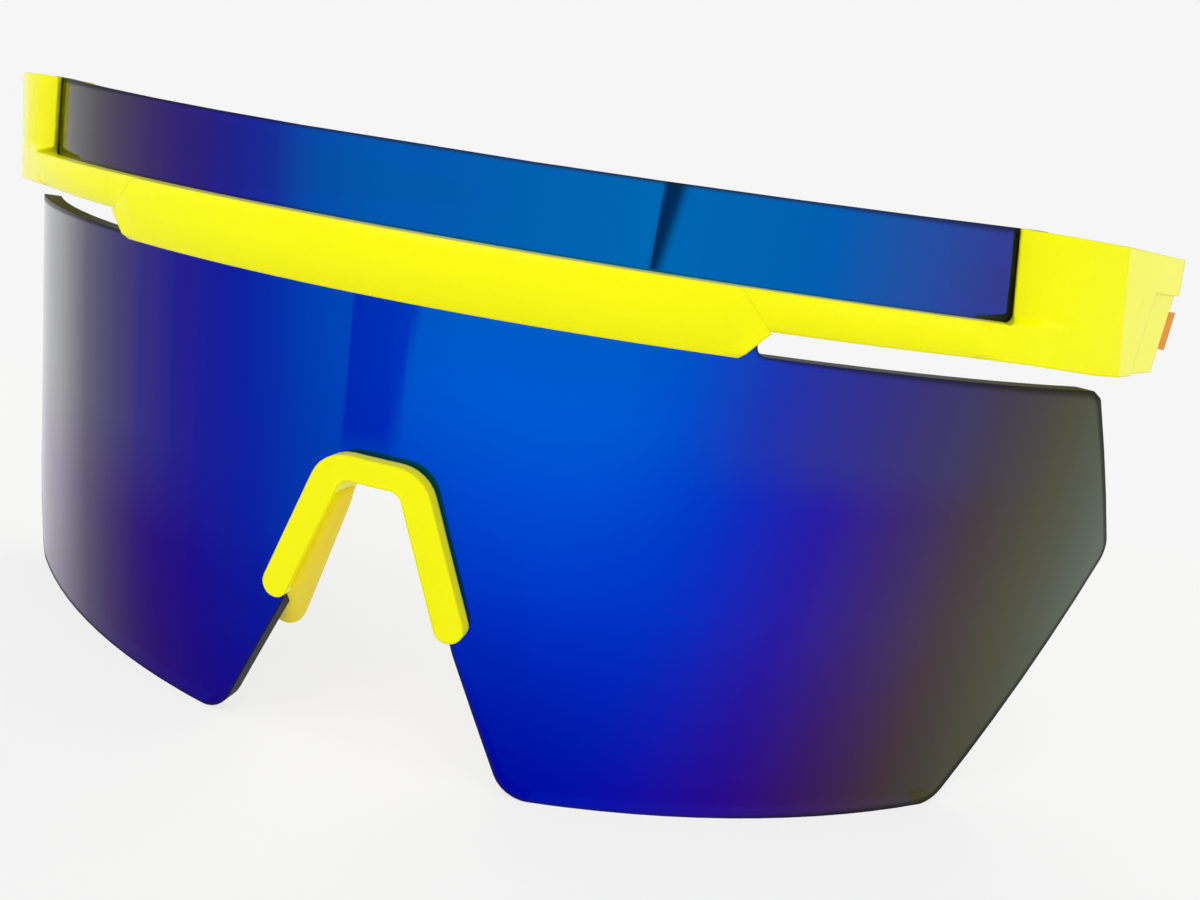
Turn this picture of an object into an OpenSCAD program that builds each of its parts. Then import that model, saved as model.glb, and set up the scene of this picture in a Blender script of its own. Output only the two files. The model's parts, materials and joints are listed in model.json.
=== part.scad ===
/* [Lens] */
// Radius of the middle of the lens front, seen from above
lens_mid_r = 81.2; // [77:0.2:86]
// Radius of the two sides of the lens front, seen from above
lens_side_r = 99.5; // [94:0.5:108]
// Thickness of the lens
lens_t = 2; // [1.6:0.1:2.2]
// Half width of the lens at its widest corners
lens_half_w = 75; // [72:0.5:77]
// Half width of the lower lens at its top corners
lens_top_half_w = 67.5; // [66:0.2:69]
// Half width of the foot of each lobe at its outer end
foot_out_half_w = 60.6; // [56:0.5:64]
// Half width of the foot of each lobe at its inner end
foot_in_half_w = 16.5; // [15:0.2:20]
// Height of the nose seat over the foot of the lens
seat_h = 30.7; // [26:0.2:34]
// Height of the widest corners over the foot of the lens
corner_h = 29.6; // [24:0.2:34]
// Height of the lens over the brow bar, in the middle
band_h = 7.5; // [6:0.1:10]
// Half width of the upper band
band_half_w = 57.2; // [56:0.2:58]
// Radius of the sag along the top edge of the upper band
band_sag_r = 1100; // [800:50:2000]
// Height of the open vent slot
slot_h = 2.6; // [2.2:0.1:3.2]
// Half width at which the vent slots begin
slot_half_w = 32.6; // [30:0.2:35]

/* [Front frame] */
// Height of the top of the brow bar over the nose seat
brow_h = 24.1; // [20:0.2:27]
// Height of the thin arms of the bar
arm_h = 3.5; // [3:0.1:4.4]
// How far the thin arms stand in front of the lens
arm_d = 2.6; // [2:0.1:3]
// Height of the middle block
block_h = 6.1; // [5.8:0.1:7]
// How far the middle block stands in front of the lens
block_d = 3.2; // [2.8:0.1:3.6]
// Half width of the middle block at its pointed ends
block_half_w = 32.6; // [30:0.2:35]
// How far the bar laps over the lower edge of the upper band
lap_h = 2.6; // [1.8:0.1:3]
// Height of the end blocks over the top of the brow bar
end_rise = 8.8; // [7:0.2:10]
// Half width of the window between the end blocks, at the brow bar
window_half_w = 53.6; // [52.8:0.2:54.6]
// How far the end blocks reach below the arms of the bar
end_drop = 0.5; // [0.2:0.1:0.8]
// How far the window narrows towards its top
window_lean = 1.8; // [1:0.1:2.4]
// Half width at which the front of an end block turns into its side
crease_half_w = 64.1; // [63:0.1:66]
// Heading of the side of an end block, from the left-right axis
side_a = 62; // [58:0.5:65]
// Lean of the side of an end block from upright
side_lean_a = 5.9; // [3:0.1:7]
// Length of the side of an end block
side_len = 21.6; // [20:0.2:24]
// Wall of the side of an end block
side_t = 4.7; // [4.4:0.1:5]
// Depth of the step in the side of an end block
step_d = 0.5; // [0.3:0.1:0.8]
// How deep the end blocks reach behind the lens
back_d = 2; // [1.6:0.1:2.6]

/* [Inner rail] */
// Height of the rail behind the lens
rail_h = 4.2; // [3.4:0.1:5]
// Thickness of the rail
rail_t = 1.5; // [1.2:0.1:2]
// Half width of the rail
rail_half_w = 31; // [28:0.5:33]
// Half of the distance between the outer screws of the rail
rail_screw_half_w = 28; // [26.5:0.5:29]

/* [Nose] */
// Half width of the nose gap at its top
gap_top_half_w = 3; // [2.6:0.1:4]
// Lean of the legs of the nose bridge from upright
leg_a = 21; // [16:0.2:23]
// Height of the nose seat over the ends of the legs
leg_h = 14.1; // [11:0.1:16]
// Width of the nose bridge, seen from the front
rim_w = 3; // [2.4:0.1:3.4]
// Width of the top of the nose bridge
rim_top_w = 2.5; // [2.2:0.1:3]
// How far the nose bridge stands in front of the lens
rim_front_d = 1.5; // [1:0.1:1.8]
// Wall of the nose bridge behind the lens
rim_back_d = 1.3; // [1:0.1:1.8]
// Wall of the nose bridge inside the edge of the lens
rim_web = 0.5; // [0.4:0.1:0.8]
// Length of the nose pads from front to back
pad_len = 9; // [7:0.2:11]
// Thickness of the nose pads
pad_t = 2.8; // [2.2:0.1:3.2]

/* [Temples] */
// Length of a temple from its hinge to its end
temple_len = 125; // [115:1:135]
// Thickness of a temple at the hinge
temple_t = 3.6; // [3.2:0.1:4]
// Thickness of a temple at its end
temple_end_t = 2.6; // [2.2:0.1:3]
// Height of a temple at its end
temple_end_h = 5.4; // [4.6:0.2:7]
// Radius of the inward bow of a temple
temple_bow_r = 700; // [600:20:1000]
// Length of the soft sleeve on the end of a temple
tip_len = 43; // [36:1:50]
// Wall of the soft sleeve
tip_wall = 0.7; // [0.6:0.05:0.8]
// Length of the orange strip
accent_len = 30; // [20:1:40]
// Height of the orange strip
accent_h = 4.4; // [3.6:0.1:5]
// How far the orange strip stands out
accent_d = 0.8; // [0.5:0.1:1]

/* [Hinges] */
// Radius of the knuckles
knuckle_r = 1.7; // [1.5:0.05:1.9]
// Height of each of the three knuckles
knuckle_h = 2.3; // [2:0.1:2.6]
// Radius of the hinge pin
pin_r = 0.7; // [0.6:0.05:0.8]
// Thickness of the hinge leaves
leaf_t = 1; // [0.8:0.05:1.1]
// Length of the hinge leaves from the pin
leaf_len = 10.5; // [9:0.5:12]
// Height of the hinge leaves
leaf_h = 6.4; // [5.6:0.1:6.8]

/* [Clearances] */
// Gap between pieces that are seated on each other
seat_gap = 0.05; // [0.03:0.01:0.08]
// Radial clearance of the hinge pin
pin_gap = 0.04; // [0.02:0.01:0.08]
// Gap between the knuckles, and between temple and end block
joint_gap = 0.2; // [0.15:0.05:0.3]

/* [Hidden] */

$fn = 96;

// Colours
neon_yellow = [0.96, 0.96, 0.02];
pad_amber = [1, 0.82, 0.1];
accent_orange = [0.94, 0.6, 0.25];
lens_blue = [0.02, 0.28, 0.75, 0.85];
steel_grey = [0.7, 0.7, 0.72];

// Overrun of cuts past the faces that they open
over = 1;

// Heights, from the nose seat up
brow_z = brow_h;
foot_z = -seat_h;
arm_z = brow_z - arm_h;
block_z = brow_z - block_h;
end_top_z = brow_z + end_rise;
band_z = brow_z + band_h;
slot_bot_z = arm_z - slot_h;
end_bot_z = arm_z - end_drop;
slot_top_z = brow_z - lap_h;
corner_z = foot_z + corner_h;
hinge_z = (end_bot_z + end_top_z) / 2;

// Plan of the lens front: a middle arc with a flatter arc on each side.
// The arcs meet at this share of the middle radius, whose cosine is exact too.
mid_share = 0.28;
mid_cos_share = 0.96;
mid_x = lens_mid_r * mid_share;
mid_y = lens_mid_r * (1 - mid_cos_share);
side_cx = mid_x - lens_side_r * mid_share;
side_cy = mid_y + lens_side_r * mid_cos_share;

// Heading of the lens front at half width x, from the left-right axis
function head_at(x) = x <= mid_x ? asin(x / lens_mid_r) : asin((x - side_cx) / lens_side_r);
// Depth of the lens front at half width x
function y_at(x) = x <= mid_x ? lens_mid_r * (1 - cos(head_at(x)))
                              : side_cy - lens_side_r * cos(head_at(x));
// Distance of half width x from half width x0, along the heading at x0
function run_at(x0, x) = (x - x0) * cos(head_at(x0)) + (y_at(x) - y_at(x0)) * sin(head_at(x0));

// Rounding of an outline: each corner has its own radius
corner_steps = 6;
function unit(v) = v / norm(v);
function wrapped(i, n) = (i + n) % n;
function fillet(a, b, c, r) =
  let (u = unit(a - b), v = unit(c - b), half_a = acos(u * v) / 2,
       ctr = b + unit(u + v) * (r / sin(half_a)),
       p = b + u * (r / tan(half_a)), q = b + v * (r / tan(half_a)),
       a0 = atan2(p.y - ctr.y, p.x - ctr.x), a1 = atan2(q.y - ctr.y, q.x - ctr.x),
       turn = (a1 - a0 + 540) % 360 - 180)
  [for (i = [0 : corner_steps]) ctr + r * [cos(a0 + turn * i / corner_steps),
                                           sin(a0 + turn * i / corner_steps)]];
function rounded(p, r) = let (n = len(p))
  [for (i = [0 : n - 1]) each r[i] == 0 ? [p[i]]
                                        : fillet(p[wrapped(i - 1, n)], p[i], p[wrapped(i + 1, n)], r[i])];
// Outline closed by its own mirror image across the middle
function mirrored(p) = concat(p, [for (i = [len(p) - 1 : -1 : 0]) [-p[i].x, p[i].y]]);

module both_sides() {
  children();
  mirror([1, 0, 0]) children();
}

// Profiles are drawn as distance in front of the lens, then height
module wedge(points) {
  translate([0, 0, -2 * seat_h]) linear_extrude(4 * seat_h) polygon(points);
}
module middle_arc() {
  far = 2 * lens_mid_r;
  translate([0, lens_mid_r, 0]) intersection() {
    rotate_extrude() translate([lens_mid_r, 0]) children();
    wedge([[0, 0], [-far * mid_share, -far * mid_cos_share], [far * mid_share, -far * mid_cos_share]]);
  }
}
module side_arc(h1, h2) {
  translate([side_cx, side_cy, 0])
    rotate_extrude(angle = h2 - h1, start = h1 - 90)
      translate([lens_side_r, 0]) children();
}
// Side arc from where the arcs meet
module outer_arc(h2) {
  far = 2 * lens_side_r;
  translate([side_cx, side_cy, 0]) intersection() {
    rotate_extrude() translate([lens_side_r, 0]) children();
    wedge([[0, 0], [far * mid_share, -far * mid_cos_share], [far * sin(h2), -far * cos(h2)]]);
  }
}
module along_lens(x_end) {
  middle_arc() children();
  both_sides() outer_arc(head_at(x_end)) children();
}

// Place on the lens front at half width x, with the outward side towards -Y
module on_lens(x) {
  translate([x, y_at(x), 0]) rotate([0, 0, head_at(x)]) children();
}
// Prism through the lens at half width x, of an outline in run and height
module lens_prism(x, points, front, back) {
  on_lens(x) rotate([90, 0, 0]) translate([0, 0, -back])
    linear_extrude(front + back) polygon(points);
}
// Prism along the depth axis
module front_prism(points, front, back) {
  rotate([90, 0, 0]) translate([0, 0, -back]) linear_extrude(front + back) polygon(points);
}

// Lens

lens_corner_r = 2.5;
foot_out_r = 4;
foot_in_r = 4.4;
foot_drop = 0.1;
lens_top_cut = 1.6;
lens_top_r = 1;
slot_r = 1;
knee_drop = 16;
knee_r = 14;
gap_top_r = 1.4;
lens_prism_d = 14;
band_corner_r = 1.2;
peg_r = 1.3;
cut_reach = 25;

// Half width of the nose gap's legs at height z, moved outwards by e
function leg_x(z, e) = gap_top_half_w - z * tan(leg_a) + e / cos(leg_a);

// Half outlines, from the middle top down
function nose_cut_half(e) = [[leg_x(e, e), e], [leg_x(-knee_drop, e), -knee_drop],
  [foot_in_half_w, foot_z], [foot_in_half_w + 2 * foot_in_r, foot_z - foot_drop],
  [foot_in_half_w + 2 * foot_in_r, foot_z - over]];
nose_cut_r = [gap_top_r + rim_web, knee_r, foot_in_r, 0, 0];
function doubled(r) = concat(r, [for (i = [len(r) - 1 : -1 : 0]) r[i]]);

// Place of each screw of the rail
module at_rail_screws() {
  on_lens(0) translate([0, 0, rail_screw_z]) children();
  both_sides() on_lens(rail_screw_half_w) translate([0, 0, rail_screw_z]) children();
}

module lens_outer_cut() {
  x0 = lens_half_w;
  top_u = run_at(x0, lens_top_half_w);
  foot_u = run_at(x0, foot_out_half_w);
  points = [[top_u - 2 * lens_top_cut, slot_bot_z + lens_top_cut / 2],
    [top_u, slot_bot_z - lens_top_cut / 2], [0, corner_z], [foot_u, foot_z],
    [foot_u - 2 * foot_out_r, foot_z - foot_drop], [foot_u - 2 * foot_out_r, foot_z - over],
    [cut_reach, foot_z - over], [cut_reach, slot_bot_z + lens_top_cut / 2]];
  lens_prism(x0, rounded(points, [0, lens_top_r, lens_corner_r, foot_out_r, 0, 0, 0, 0]),
    lens_prism_d, lens_prism_d);
}

// Space over the sagging top edge, from the middle out and back
crown_steps = 8;
function crown_z(x) = band_z + x * x / (2 * band_sag_r);
crown_half_w = lens_half_w + lens_prism_d;
crown_half = concat([[crown_half_w, band_z + 3 * end_rise]],
  [for (i = [crown_steps : -1 : 1]) [crown_half_w * i / crown_steps,
                                     crown_z(crown_half_w * i / crown_steps)]]);

module lens_slot() {
  lens_prism(slot_half_w, rounded([[0, slot_bot_z], [lens_half_w, slot_bot_z],
    [lens_half_w, slot_top_z], [0, slot_top_z]], [slot_r, 0, 0, slot_r]),
    lens_prism_d, lens_side_r / 2);
}

module band_end_cut() {
  x0 = band_half_w;
  top_z = crown_z(band_half_w) - 2 * seat_gap;
  points = [[-2 * band_corner_r, band_z + 2 * end_rise], [-2 * band_corner_r, top_z], [0, top_z],
    [0, slot_bot_z + slot_h / 2], [2 * cut_reach, slot_bot_z + slot_h / 2],
    [2 * cut_reach, band_z + 2 * end_rise]];
  lens_prism(x0, rounded(points, [0, 0, band_corner_r, 0, 0, 0]), lens_prism_d, lens_side_r / 2);
}

module lens() {
  color(lens_blue)
    difference() {
      along_lens(lens_half_w) translate([-lens_t, foot_z])
        square([lens_t, band_z + end_rise - foot_z]);
      front_prism(mirrored(crown_half), lens_prism_d, lens_side_r);
      both_sides() lens_slot();
      both_sides() band_end_cut();
      both_sides() lens_outer_cut();
      front_prism(rounded(mirrored(nose_cut_half(rim_web)), doubled(nose_cut_r)),
        lens_prism_d, lens_prism_d);
      at_rail_screws() rotate([90, 0, 0])
        translate([0, 0, -lens_t - over]) cylinder(h = lens_t + 2 * over, r = peg_r + seat_gap);
    }
}

// Front frame

bar_bevel = 0.5;
window_low_r = 0.8;
block_point_share = 0.58;
block_top_in = 3.2;
block_low_in = 2.4;
rail_screw_z = brow_z - block_h / 2;
screw_pilot_r = 0.5;
end_reach = 3;

arm_profile = [[seat_gap, arm_z], [arm_d - bar_bevel, arm_z], [arm_d, arm_z + bar_bevel],
  [arm_d, brow_z - bar_bevel], [arm_d - bar_bevel, brow_z], [seat_gap, brow_z]];
block_profile = [[seat_gap, block_z], [block_d - bar_bevel, block_z],
  [block_d, block_z + bar_bevel], [block_d, brow_z - bar_bevel],
  [block_d - bar_bevel, brow_z], [seat_gap, brow_z]];

// Crease between the front and the side of the left end block
crease_h = head_at(crease_half_w);
crease_x = crease_half_w + arm_d * sin(crease_h);
crease_y = y_at(crease_half_w) - arm_d * cos(crease_h);
side_end_x = crease_x + side_len * cos(side_a);
side_end_y = crease_y + side_len * sin(side_a);

// Hinge axis of the left temple
pin_x = side_end_x - accent_d - temple_t - knuckle_r - joint_gap;
pin_y = side_end_y + joint_gap / 2;

module middle_block() {
  point_z = brow_z - block_h * block_point_share;
  top_u = -block_top_in * (1 + over / (brow_z - point_z));
  low_u = -block_low_in * (1 + over / (point_z - block_z));
  difference() {
    along_lens(block_half_w + over) polygon(block_profile);
    both_sides() lens_prism(block_half_w,
      [[top_u, brow_z + over], [0, point_z], [low_u, block_z - over],
       [block_top_in, block_z - over], [block_top_in, brow_z + over]],
      block_d + over, over);
  }
}

// Plan of the end block: a slab along the lens, then an arm along the side
end_skin = 0.06;
end_steps = 8;
end_front_r = lens_side_r + arm_d - end_skin;
end_back_r = lens_side_r - lens_t - back_d;
end_x = window_half_w + arm_d * sin(head_at(window_half_w));
side_dir = [cos(side_a), sin(side_a)];
side_in = [-sin(side_a), cos(side_a)];
function end_head(r, x) = asin((x - side_cx) / r);
function end_arc(r, h1, h2) = [for (i = [0 : end_steps]) let (h = h1 + (h2 - h1) * i / end_steps)
  [side_cx + r * sin(h), side_cy - r * cos(h)]];
function on_side(u, v) = [crease_x, crease_y] + u * side_dir + v * side_in;
// Where the inner face of the side arm meets the slab's back
inner_from = on_side(0, side_t) - [side_cx, side_cy];
inner_b = inner_from * side_dir;
inner_u = -inner_b - sqrt(inner_b * inner_b - inner_from * inner_from + end_back_r * end_back_r);
inner_p = on_side(inner_u, side_t);
end_far = side_len + side_t;
end_plan = concat(
  end_arc(end_front_r, end_head(end_front_r, end_x - end_reach), crease_h + 2 * end_reach),
  [on_side(end_far, -side_t / 2), on_side(end_far, side_t)],
  end_arc(end_back_r, end_head(end_back_r, inner_p.x),
          end_head(end_back_r, end_x - end_reach)));

// The walls of the window run straight back, and a short tongue reaches into the bar's arm
module end_solid() {
  tongue_top_z = brow_z - 2 * seat_gap;
  tongue_low_z = arm_z + 2 * seat_gap;
  difference() {
    translate([0, 0, end_bot_z]) linear_extrude(end_top_z - end_bot_z) polygon(end_plan);
    front_prism(rounded([[end_x - window_lean, end_top_z + over], [end_x, tongue_top_z],
      [end_x - 2 * end_reach, tongue_top_z], [end_x - 2 * end_reach, end_top_z + over]],
      [0, window_low_r, 0, 0]), lens_prism_d, lens_side_r);
    front_prism([[end_x - 2 * end_reach, tongue_low_z], [end_x - seat_gap, tongue_low_z],
      [crease_x, end_bot_z - seat_gap], [crease_x, end_bot_z - over],
      [end_x - 2 * end_reach, end_bot_z - over]], lens_prism_d, lens_side_r);
  }
}

// Everything outside the leaning side of the end block
module outside_side(depth) {
  reach = 2 * side_len;
  translate([crease_x, crease_y, hinge_z]) rotate([0, 0, side_a]) rotate([-side_lean_a, 0, 0])
    translate([-reach, -reach + depth, -reach]) cube([2 * reach, reach, 2 * reach]);
}

// The lower rear part of the side is stepped in
step_rise_share = 0.68;
step_front_share = 0.3;
step_knee_share = 0.52;
module side_step() {
  h = end_top_z - end_bot_z;
  step_z = end_bot_z + h * step_rise_share;
  intersection() {
    outside_side(step_d);
    translate([crease_x, crease_y, 0]) rotate([0, 0, side_a]) rotate([90, 0, 0])
      translate([0, 0, -side_t / 2]) linear_extrude(side_t)
        polygon([[side_len * step_front_share, end_bot_z - over],
                 [side_len * step_knee_share, step_z],
                 [side_len + side_t, step_z], [side_len + side_t, end_bot_z - over]]);
  }
}

module end_block() {
  rear_cut_share = 0.65;
  rear_cut_d = 4.6;
  h = end_top_z - end_bot_z;
  difference() {
    end_solid();
    outside_side(0);
    side_step();
    // Rear face, with its lower part cut forward
    translate([0, side_end_y, end_bot_z - over])
      cube([2 * side_end_x, side_len, h + 2 * over]);
    translate([side_end_x - side_t * 2, 0, 0]) rotate([90, 0, 90])
      linear_extrude(side_t * 4)
        polygon([[side_end_y + over, end_bot_z + h * rear_cut_share],
                 [side_end_y, end_bot_z + h * rear_cut_share],
                 [side_end_y - rear_cut_d, end_bot_z - over],
                 [side_end_y + over, end_bot_z - over]]);
    // Groove for the end of the upper band
    side_arc(head_at(window_half_w - 2 * end_reach), head_at(band_half_w) + 0.2)
      translate([-lens_t - seat_gap, slot_top_z - seat_gap])
        square([lens_t + 3 * seat_gap, end_top_z - slot_top_z + over]);
    // Room for the knuckles
    translate([pin_x, pin_y, hinge_z - 2 * knuckle_h])
      cylinder(h = 4 * knuckle_h, r = knuckle_r + joint_gap);
    front_leaf_holes();
  }
}

module front_frame() {
  color(neon_yellow)
    difference() {
      union() {
        along_lens(window_half_w - window_lean / 2) polygon(arm_profile);
        middle_block();
        both_sides() end_block();
        at_rail_screws() rotate([90, 0, 0])
          translate([0, 0, -lens_t]) cylinder(h = lens_t + arm_d / 2, r = peg_r);
      }
      at_rail_screws() rotate([90, 0, 0])
        translate([0, 0, -lens_t - over]) cylinder(h = rail_screw_len, r = screw_pilot_r);
    }
}

// Inner rail and its screws

rail_screw_len = 4;
rail_head_r = 1.1;
rail_head_h = 0.6;
rail_d = lens_t + seat_gap;
rail_z = rail_screw_z - rail_h / 2;
rail_cut = rail_h / 4;

module inner_rail() {
  color(neon_yellow)
    difference() {
      along_lens(rail_half_w) translate([-rail_d - rail_t, rail_z]) square([rail_t, rail_h]);
      at_rail_screws() rotate([-90, 0, 0]) {
        cylinder(h = rail_d + rail_t + over, r = screw_pilot_r + seat_gap);
        translate([0, 0, rail_d + rail_t - rail_head_h])
          cylinder(h = rail_head_h + over, r = rail_head_r + seat_gap);
      }
      both_sides() lens_prism(rail_half_w, [[-rail_cut - over, rail_z - over],
        [0, rail_z + rail_cut], [0, rail_z + rail_h - rail_cut],
        [-rail_cut - over, rail_z + rail_h + over], [rail_h, rail_z + rail_h + over],
        [rail_h, rail_z - over]], over, rail_d + rail_t + over);
    }
}

module small_screw(len, r, head_r, head_h) {
  slot_w = 0.25;
  difference() {
    union() {
      cylinder(h = head_h, r = head_r);
      translate([0, 0, head_h]) cylinder(h = len - head_h, r = r);
    }
    translate([-head_r - over, -slot_w / 2, -over])
      cube([2 * head_r + 2 * over, slot_w, over + head_h / 2]);
  }
}

module rail_screws() {
  color(steel_grey) at_rail_screws() translate([0, rail_d + rail_t, 0]) rotate([90, 0, 0])
    small_screw(rail_screw_len, screw_pilot_r - seat_gap, rail_head_r, rail_head_h);
}

// Nose bridge and pads

leg_round = rim_w / 2;
shoulder_r = 4;
peg_pad_r = 0.6;
peg_pad_len = 1;

// Closed n shape between two offsets from the nose gap
function rim_half(e_top, e_out) = [[leg_x(e_top, e_out), e_top], [leg_x(-leg_h, e_out), -leg_h]];

module rim_shape(back, front) {
  outer = rim_half(rim_top_w, rim_w);
  inner = rim_half(0, 0);
  front_prism(concat(
    rounded(mirrored([outer[0], outer[1], inner[1], inner[0]]),
      doubled([shoulder_r, leg_round * 0.98, leg_round * 0.98, gap_top_r]))), front, back);
}

module nose_bridge() {
  color(neon_yellow)
    difference() {
      intersection() {
        rim_shape(lens_prism_d, lens_prism_d);
        along_lens(foot_in_half_w) translate([-lens_t - seat_gap - rim_back_d, foot_z])
          square([lens_t + seat_gap + rim_back_d + rim_front_d, brow_z - foot_z]);
      }
      // Channel that the edge of the lens sits in
      difference() {
        along_lens(foot_in_half_w) translate([-lens_t - seat_gap, foot_z])
          square([lens_t + 2 * seat_gap, brow_z - foot_z]);
        front_prism(rounded(mirrored(nose_cut_half(rim_web - seat_gap)), doubled(nose_cut_r)),
          lens_prism_d, lens_prism_d);
      }
      both_sides() pad_pegs(peg_pad_r + seat_gap);
    }
}

// Two pegs of the left pad, into the back wall of the rim
peg_high_z_share = 0.25;
peg_low_z_share = 0.8;
module pad_pegs(r) {
  for (share = [peg_high_z_share, peg_low_z_share]) {
    x = leg_x(-leg_h * share, rim_w / 2);
    translate([x, y_at(x) + lens_t + rim_back_d / 2, -leg_h * share]) rotate([-90, 0, 0])
      cylinder(h = peg_pad_len + pad_t / 2, r = r, $fn = 24);
  }
}

pad_top_drop = 4.6;
pad_low_drop = 6.4;
pad_back_drop = 9.8;
pad_back_flare = 2.9;
pad_low_flare = 1;
pad_top_flare = 0.4;
pad_low_share = 0.6;
pad_low_r_share = 1.3;
module pad_ball(z, flare, y, r) {
  translate([leg_x(z, rim_w / 2) + flare, y, z]) sphere(r, $fn = 20);
}
module nose_pad() {
  r = pad_t / 2;
  y1 = y_at(leg_x(-leg_h, rim_w)) + lens_t + rim_back_d + r + 2 * seat_gap;
  color(pad_amber) {
    hull() {
      pad_ball(-pad_top_drop, pad_top_flare, y1, r);
      pad_ball(-leg_h, 0, y1, r);
      pad_ball(-leg_h - pad_low_drop, pad_low_flare, y1 + pad_len * pad_low_share - r,
        r * pad_low_r_share);
      pad_ball(-pad_back_drop, pad_back_flare, y1 + pad_len - 2 * r, r);
    }
    pad_pegs(peg_pad_r);
  }
}
module nose_pad_left() nose_pad();
module nose_pad_right() mirror([1, 0, 0]) nose_pad();

// Hinges

neck_len = knuckle_r + 2 * joint_gap;
hinge_h = 3 * knuckle_h + 2 * joint_gap;
leaf_screw_r = 0.5;
leaf_screw_len = 2.8;
leaf_head_r = 0.9;
leaf_head_h = 0.4;
leaf_screw_share = [0.42, 0.8];
pin_head_r = 1.2;
pin_head_h = 0.5;

// Distance of the pin axis from the inner face of the side arm
face_d = (side_end_x - pin_x) * sin(side_a) - (side_end_y - pin_y) * cos(side_a) - side_t;

// Frame of the front leaf: +X runs forward along the side arm, +Y is inward
module at_front_leaf() {
  translate([pin_x, pin_y, hinge_z]) rotate([0, 0, side_a]) mirror([1, 0, 0])
    translate([0, -face_d, 0]) children();
}
module knuckle(z) {
  translate([0, 0, z]) difference() {
    cylinder(h = knuckle_h, r = knuckle_r);
    translate([0, 0, -over]) cylinder(h = knuckle_h + 2 * over, r = pin_r + pin_gap);
  }
}

module front_leaf_plate() {
  at_front_leaf() difference() {
    union() {
      translate([neck_len, 0, -leaf_h / 2]) cube([leaf_len - neck_len, leaf_t, leaf_h]);
      for (z = [-hinge_h / 2, hinge_h / 2 - knuckle_h]) translate([0, 0, z + seat_gap])
        cube([neck_len + over, leaf_t, knuckle_h - 2 * seat_gap]);
    }
    for (share = leaf_screw_share) translate([leaf_len * share, -over, 0]) rotate([-90, 0, 0])
      cylinder(h = leaf_t + 2 * over, r = leaf_screw_r + seat_gap);
  }
}

module front_hinge() {
  color(steel_grey) difference() {
    union() {
      front_leaf_plate();
      translate([pin_x, pin_y, hinge_z - hinge_h / 2]) cylinder(h = knuckle_h, r = knuckle_r);
      translate([pin_x, pin_y, hinge_z + hinge_h / 2 - knuckle_h])
        cylinder(h = knuckle_h, r = knuckle_r);
    }
    translate([pin_x, pin_y, hinge_z - hinge_h])
      cylinder(h = 2 * hinge_h, r = pin_r + pin_gap);
  }
}
module front_hinge_left() front_hinge();
module front_hinge_right() mirror([1, 0, 0]) front_hinge();

module front_leaf_holes() {
  at_front_leaf() for (share = leaf_screw_share) translate([leaf_len * share, 0, 0])
    rotate([90, 0, 0]) cylinder(h = leaf_screw_len, r = leaf_screw_r + seat_gap);
}

module front_leaf_screws() {
  color(steel_grey) both_sides() at_front_leaf() for (share = leaf_screw_share)
    translate([leaf_len * share, leaf_t + leaf_head_h, 0]) rotate([90, 0, 0])
      small_screw(leaf_screw_len, leaf_screw_r, leaf_head_r, leaf_head_h);
}

module hinge_screw() {
  color(steel_grey)
    translate([pin_x, pin_y, hinge_z + hinge_h / 2 + pin_head_h]) rotate([180, 0, 0])
      small_screw(hinge_h + pin_head_h, pin_r, pin_head_r, pin_head_h);
}
module hinge_screw_left() hinge_screw();
module hinge_screw_right() mirror([1, 0, 0]) hinge_screw();

// Temples, drawn from the hinge axis with +Y to the rear

face_x = knuckle_r + joint_gap;
bow_y = temple_len * temple_len / (2 * temple_bow_r);
inner_bow_r = temple_len * temple_len / (2 * (bow_y - temple_t + temple_end_t));
leaf_sink = 0.3;
tongue_play = 0.1;
temple_round = 2.6;
front_y = joint_gap;
temple_bot_z = end_bot_z - hinge_z;
temple_top_z = end_top_z - hinge_z;
temple_tip_z = temple_bot_z + temple_end_h;

module at_pin() {
  translate([pin_x, pin_y, hinge_z]) children();
}

// Side outline between two distances from the hinge, drawn in by e
function temple_top(y) = temple_top_z + (temple_tip_z - temple_top_z) * y / temple_len;
module temple_outline(y1, y2, e, r_end) {
  rotate([90, 0, 90])
    linear_extrude(2 * temple_t + 2 * bow_y, center = true)
      polygon(rounded([[y1, temple_bot_z + e], [y2, temple_bot_z + e],
        [y2, temple_top(y2) - e], [y1, temple_top(y1) - e]], [0, r_end, r_end, 0]));
}

// Bowed slab between the inner and outer faces, drawn in by e on each
module temple_slab(e) {
  far = temple_len + over;
  difference() {
    translate([face_x + temple_t - e - temple_bow_r, 0, -2 * temple_top_z])
      cylinder(h = 4 * temple_top_z, r = temple_bow_r, $fn = 720);
    translate([face_x + e - inner_bow_r, 0, -2 * temple_top_z - over])
      cylinder(h = 4 * temple_top_z + 2 * over, r = inner_bow_r, $fn = 720);
    translate([-3 * temple_bow_r, -temple_bow_r, -2 * temple_top_z - over])
      cube([3 * temple_bow_r + 4 * face_x, temple_bow_r, 4 * temple_top_z + 2 * over]);
    translate([-3 * temple_bow_r, far, -2 * temple_top_z - over])
      cube([3 * temple_bow_r + 4 * face_x, temple_bow_r, 4 * temple_top_z + 2 * over]);
    translate([-4 * temple_bow_r - bow_y, -over, -2 * temple_top_z - over])
      cube([4 * temple_bow_r - bow_y, temple_bow_r, 4 * temple_top_z + 2 * over]);
  }
}

module temple_leaf_holes() {
  for (share = leaf_screw_share) translate([face_x - over, leaf_len * share, 0])
    rotate([0, 90, 0]) cylinder(h = leaf_screw_len, r = leaf_screw_r + seat_gap, $fn = 24);
}

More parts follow.
